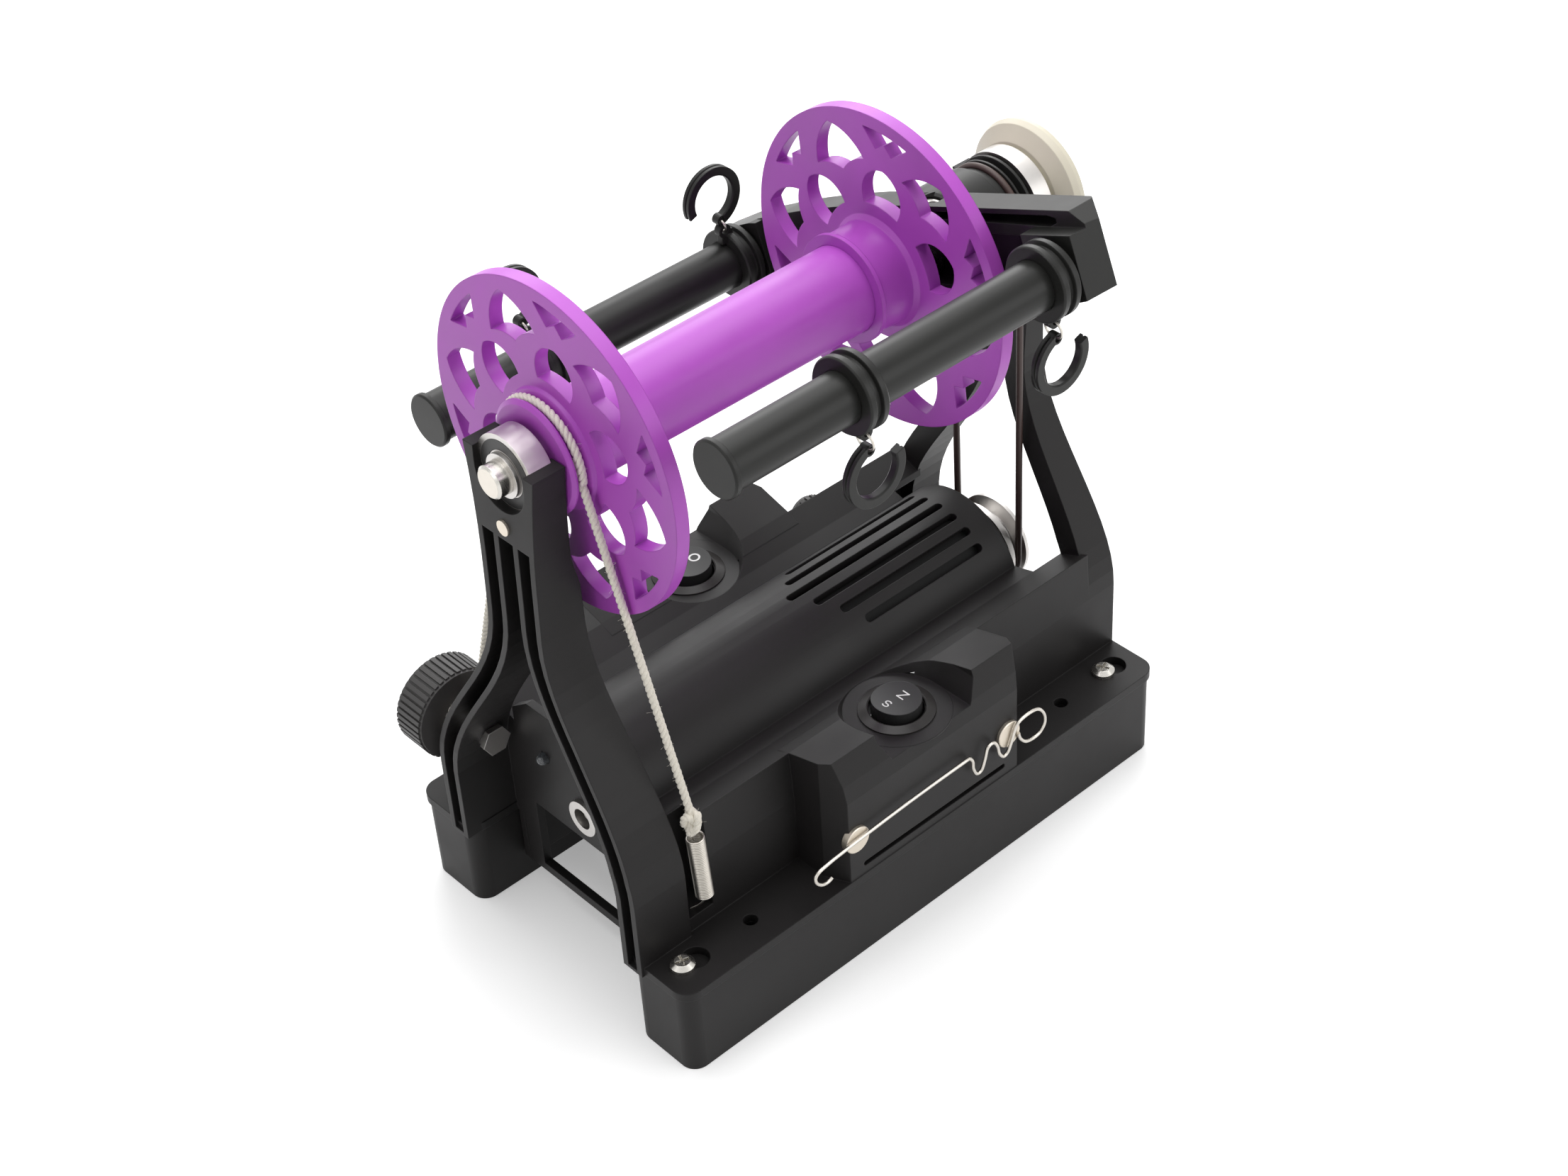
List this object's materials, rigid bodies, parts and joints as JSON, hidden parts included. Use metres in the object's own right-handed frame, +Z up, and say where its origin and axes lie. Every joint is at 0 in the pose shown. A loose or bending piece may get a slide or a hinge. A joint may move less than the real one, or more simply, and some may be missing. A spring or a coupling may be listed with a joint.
{
  "type": "electric yarn spinner",
  "caption": "Desktop electric spinner: belt-driven flyer with sliding yarn hooks, braked bobbin and round rocker switches on a motor housing with two foot rails.",
  "frame": {"origin": "middle of the base at table height", "axes": "+X along the flyer axis towards the yarn orifice, +Z up"},
  "size_m": [0.1707, 0.1266, 0.1854],
  "materials": {
    "shell": "satin moulded black",
    "trim": "satin black",
    "purple": "satin purple",
    "steel": "turned",
    "chrome": "polished",
    "cream": "smooth",
    "belt": "smooth",
    "cotton": "twisted cotton",
    "board": "lacquered",
    "lens": "clear"
  },
  "bodies": {
    "frame": {"body_shell": "shell", "foot_left": "shell", "foot_right": "shell", "foot_screws": "steel", "dc_jack": "chrome", "indicator_led": "lens", "circuit_board": "board", "speed_pot": "steel", "power_bezel": "trim", "direction_bezel": "trim", "motor": "steel", "motor_screws": "steel", "drive_belt": "belt", "near_bearing_outer": "chrome", "bearing_balls": "chrome", "orifice_bearing_outer": "chrome", "brake_band": "cotton", "brake_spring": "chrome", "hook_magnets": "chrome", "cradle_magnet": "chrome"},
    "flyer": {"flyer_shaft": "steel", "shaft_ring": "chrome", "near_bearing_inner": "chrome", "flyer_yoke": "trim", "arm_tube_right": "trim", "arm_tube_left": "trim", "arm_cap_right": "trim", "arm_cap_left": "trim", "flyer_pulley": "trim", "yarn_eyelet": "chrome", "orifice_tube": "steel", "orifice_bearing_inner": "chrome", "orifice_flange": "cream"},
    "bobbin": {"bobbin_core": "purple", "bobbin_flange_near": "purple", "bobbin_flange_far": "purple", "bobbin_bushings": "cream"},
    "motor_rotor": {"motor_shaft": "steel", "motor_pulley": "chrome"},
    "power_switch": {"power_rocker": "trim"},
    "direction_switch": {"direction_rocker": "trim"},
    "speed_control": {"speed_knob": "trim"},
    "brake_control": {"brake_knob": "trim", "brake_screw": "chrome"},
    "threader": {"threading_hook": "steel"},
    "slider_1": {"hook_collar_1": "trim", "hook_wire_1": "chrome", "yarn_hook_1": "trim"},
    "slider_2": {"hook_collar_2": "trim", "hook_wire_2": "chrome", "yarn_hook_2": "trim"},
    "slider_3": {"hook_collar_3": "trim", "hook_wire_3": "chrome", "yarn_hook_3": "trim"},
    "slider_4": {"hook_collar_4": "trim", "hook_wire_4": "chrome", "yarn_hook_4": "trim"}
  },
  "joints": [
    {"name": "flyer_spin", "type": "hinge", "parent": "frame", "child": "flyer", "pos_m": [0, 0, 0.1454], "axis": [1, 0, 0], "continuous": true},
    {"name": "bobbin_spin", "type": "hinge", "parent": "flyer", "child": "bobbin", "pos_m": [0, 0, 0.1454], "axis": [1, 0, 0], "continuous": true},
    {"name": "motor_spin", "type": "hinge", "parent": "frame", "child": "motor_rotor", "pos_m": [0.07, 0, 0.0464], "axis": [1, 0, 0], "continuous": true},
    {"name": "power_rock", "type": "hinge", "parent": "frame", "child": "power_switch", "pos_m": [0, 0.0378, 0.0534], "axis": [0, 1, 0], "range_deg": [-9, 9]},
    {"name": "direction_rock", "type": "hinge", "parent": "frame", "child": "direction_switch", "pos_m": [0, -0.0378, 0.0534], "axis": [0, 1, 0], "range_deg": [-9, 9]},
    {"name": "speed_turn", "type": "hinge", "parent": "frame", "child": "speed_control", "pos_m": [0.0478, 0.04, 0.0428], "axis": [0, 1, 0], "range_deg": [-150, 150]},
    {"name": "brake_turn", "type": "hinge", "parent": "frame", "child": "brake_control", "pos_m": [-0.0715, 0.042, 0.052], "axis": [0, 1, 0], "continuous": true},
    {"name": "threader_pull", "type": "slide", "parent": "frame", "child": "threader", "axis": [0, -1, 0], "range_m": [0, 0.06]},
    {"name": "slider_1_move", "type": "slide", "parent": "flyer", "child": "slider_1", "axis": [1, 0, 0], "range_m": [-0.03, 0.021]},
    {"name": "slider_2_move", "type": "slide", "parent": "flyer", "child": "slider_2", "axis": [1, 0, 0], "range_m": [-0.018, 0]},
    {"name": "slider_3_move", "type": "slide", "parent": "flyer", "child": "slider_3", "axis": [1, 0, 0], "range_m": [-0.026, 0.025]},
    {"name": "slider_4_move", "type": "slide", "parent": "flyer", "child": "slider_4", "axis": [1, 0, 0], "range_m": [-0.018, 0]}
  ],
  "couplings": [
    {"joint": "motor_spin", "follows": "flyer_spin", "ratio": 1.0515}
  ]
}
